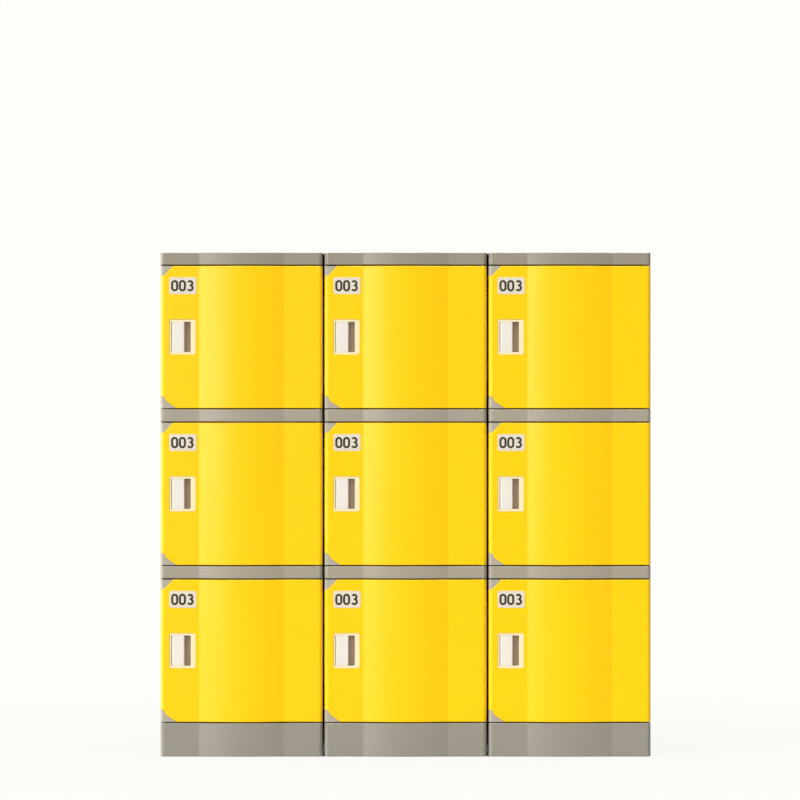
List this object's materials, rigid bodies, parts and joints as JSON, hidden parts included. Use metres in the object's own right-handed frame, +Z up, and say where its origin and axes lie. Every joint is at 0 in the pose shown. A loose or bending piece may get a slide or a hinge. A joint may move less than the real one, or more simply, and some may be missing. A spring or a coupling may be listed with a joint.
{
  "type": "backpack locker unit",
  "caption": "Free-standing bank of square plastic lockers with bulged hinged doors, recessed latch paddles and number plates, on plinths with bands between the tiers.",
  "frame": {"origin": "centre of the underside, on the floor", "axes": "+Z up, -Y out of the doors towards the user, +X to the user's right"},
  "size_m": [1.1412, 0.5, 1.1725],
  "materials": {
    "grey_moulding": "fine-grained moulded warm grey",
    "yellow_cover": "smooth satin moulded yellow",
    "cream_housing": "smooth satin cream",
    "ivory_paddle": "smooth satin ivory",
    "number_plate": "matt off-white with dark digits",
    "keeper_plastic": "moulded nylon, off-white",
    "steel": "bright zinc-plated steel"
  },
  "bodies": {
    "carcass": {"base_plinth_1": "grey_moulding", "base_plinth_2": "grey_moulding", "base_plinth_3": "grey_moulding", "top_panel_1": "grey_moulding", "top_panel_2": "grey_moulding", "top_panel_3": "grey_moulding", "side_panels_1": "grey_moulding", "side_panels_2": "grey_moulding", "side_panels_3": "grey_moulding", "shelf_panels": "grey_moulding", "back_panels": "grey_moulding", "hinge_pins": "steel", "latch_keepers": "keeper_plastic", "keeper_screws": "steel", "column_ties": "grey_moulding"},
    "door_1": {"door_cover_1": "yellow_cover", "door_shell_1": "grey_moulding", "handle_housing_1": "cream_housing", "number_plate_1": "number_plate"},
    "paddle_1": {"latch_paddle_1": "ivory_paddle"},
    "door_2": {"door_cover_2": "yellow_cover", "door_shell_2": "grey_moulding", "handle_housing_2": "cream_housing", "number_plate_2": "number_plate"},
    "paddle_2": {"latch_paddle_2": "ivory_paddle"},
    "door_3": {"door_cover_3": "yellow_cover", "door_shell_3": "grey_moulding", "handle_housing_3": "cream_housing", "number_plate_3": "number_plate"},
    "paddle_3": {"latch_paddle_3": "ivory_paddle"},
    "door_4": {"door_cover_4": "yellow_cover", "door_shell_4": "grey_moulding", "handle_housing_4": "cream_housing", "number_plate_4": "number_plate"},
    "paddle_4": {"latch_paddle_4": "ivory_paddle"},
    "door_5": {"door_cover_5": "yellow_cover", "door_shell_5": "grey_moulding", "handle_housing_5": "cream_housing", "number_plate_5": "number_plate"},
    "paddle_5": {"latch_paddle_5": "ivory_paddle"},
    "door_6": {"door_cover_6": "yellow_cover", "door_shell_6": "grey_moulding", "handle_housing_6": "cream_housing", "number_plate_6": "number_plate"},
    "paddle_6": {"latch_paddle_6": "ivory_paddle"},
    "door_7": {"door_cover_7": "yellow_cover", "door_shell_7": "grey_moulding", "handle_housing_7": "cream_housing", "number_plate_7": "number_plate"},
    "paddle_7": {"latch_paddle_7": "ivory_paddle"},
    "door_8": {"door_cover_8": "yellow_cover", "door_shell_8": "grey_moulding", "handle_housing_8": "cream_housing", "number_plate_8": "number_plate"},
    "paddle_8": {"latch_paddle_8": "ivory_paddle"},
    "door_9": {"door_cover_9": "yellow_cover", "door_shell_9": "grey_moulding", "handle_housing_9": "cream_housing", "number_plate_9": "number_plate"},
    "paddle_9": {"latch_paddle_9": "ivory_paddle"}
  },
  "joints": [
    {"name": "door_hinge_1", "type": "hinge", "parent": "carcass", "child": "door_1", "pos_m": [-0.2024, -0.231, 0.9758], "axis": [0, 0, 1], "range_deg": [0, 110]},
    {"name": "latch_pivot_1", "type": "hinge", "parent": "door_1", "child": "paddle_1", "pos_m": [-0.5402, -0.2338, 0.9758], "axis": [0, 0, -1], "range_deg": [0, 22], "stiffness_Nm_per_rad": 0.25, "springref_deg": -22.92},
    {"name": "door_hinge_2", "type": "hinge", "parent": "carcass", "child": "door_2", "pos_m": [0.1796, -0.231, 0.9758], "axis": [0, 0, 1], "range_deg": [0, 110]},
    {"name": "latch_pivot_2", "type": "hinge", "parent": "door_2", "child": "paddle_2", "pos_m": [-0.1582, -0.2338, 0.9758], "axis": [0, 0, -1], "range_deg": [0, 22], "stiffness_Nm_per_rad": 0.25, "springref_deg": -22.92},
    {"name": "door_hinge_3", "type": "hinge", "parent": "carcass", "child": "door_3", "pos_m": [0.5616, -0.231, 0.9758], "axis": [0, 0, 1], "range_deg": [0, 110]},
    {"name": "latch_pivot_3", "type": "hinge", "parent": "door_3", "child": "paddle_3", "pos_m": [0.2238, -0.2338, 0.9758], "axis": [0, 0, -1], "range_deg": [0, 22], "stiffness_Nm_per_rad": 0.25, "springref_deg": -22.92},
    {"name": "door_hinge_4", "type": "hinge", "parent": "carcass", "child": "door_4", "pos_m": [-0.2024, -0.231, 0.6108], "axis": [0, 0, 1], "range_deg": [0, 110]},
    {"name": "latch_pivot_4", "type": "hinge", "parent": "door_4", "child": "paddle_4", "pos_m": [-0.5402, -0.2338, 0.6108], "axis": [0, 0, -1], "range_deg": [0, 22], "stiffness_Nm_per_rad": 0.25, "springref_deg": -22.92},
    {"name": "door_hinge_5", "type": "hinge", "parent": "carcass", "child": "door_5", "pos_m": [0.1796, -0.231, 0.6108], "axis": [0, 0, 1], "range_deg": [0, 110]},
    {"name": "latch_pivot_5", "type": "hinge", "parent": "door_5", "child": "paddle_5", "pos_m": [-0.1582, -0.2338, 0.6108], "axis": [0, 0, -1], "range_deg": [0, 22], "stiffness_Nm_per_rad": 0.25, "springref_deg": -22.92},
    {"name": "door_hinge_6", "type": "hinge", "parent": "carcass", "child": "door_6", "pos_m": [0.5616, -0.231, 0.6108], "axis": [0, 0, 1], "range_deg": [0, 110]},
    {"name": "latch_pivot_6", "type": "hinge", "parent": "door_6", "child": "paddle_6", "pos_m": [0.2238, -0.2338, 0.6108], "axis": [0, 0, -1], "range_deg": [0, 22], "stiffness_Nm_per_rad": 0.25, "springref_deg": -22.92},
    {"name": "door_hinge_7", "type": "hinge", "parent": "carcass", "child": "door_7", "pos_m": [-0.2024, -0.231, 0.2458], "axis": [0, 0, 1], "range_deg": [0, 110]},
    {"name": "latch_pivot_7", "type": "hinge", "parent": "door_7", "child": "paddle_7", "pos_m": [-0.5402, -0.2338, 0.2458], "axis": [0, 0, -1], "range_deg": [0, 22], "stiffness_Nm_per_rad": 0.25, "springref_deg": -22.92},
    {"name": "door_hinge_8", "type": "hinge", "parent": "carcass", "child": "door_8", "pos_m": [0.1796, -0.231, 0.2458], "axis": [0, 0, 1], "range_deg": [0, 110]},
    {"name": "latch_pivot_8", "type": "hinge", "parent": "door_8", "child": "paddle_8", "pos_m": [-0.1582, -0.2338, 0.2458], "axis": [0, 0, -1], "range_deg": [0, 22], "stiffness_Nm_per_rad": 0.25, "springref_deg": -22.92},
    {"name": "door_hinge_9", "type": "hinge", "parent": "carcass", "child": "door_9", "pos_m": [0.5616, -0.231, 0.2458], "axis": [0, 0, 1], "range_deg": [0, 110]},
    {"name": "latch_pivot_9", "type": "hinge", "parent": "door_9", "child": "paddle_9", "pos_m": [0.2238, -0.2338, 0.2458], "axis": [0, 0, -1], "range_deg": [0, 22], "stiffness_Nm_per_rad": 0.25, "springref_deg": -22.92}
  ]
}
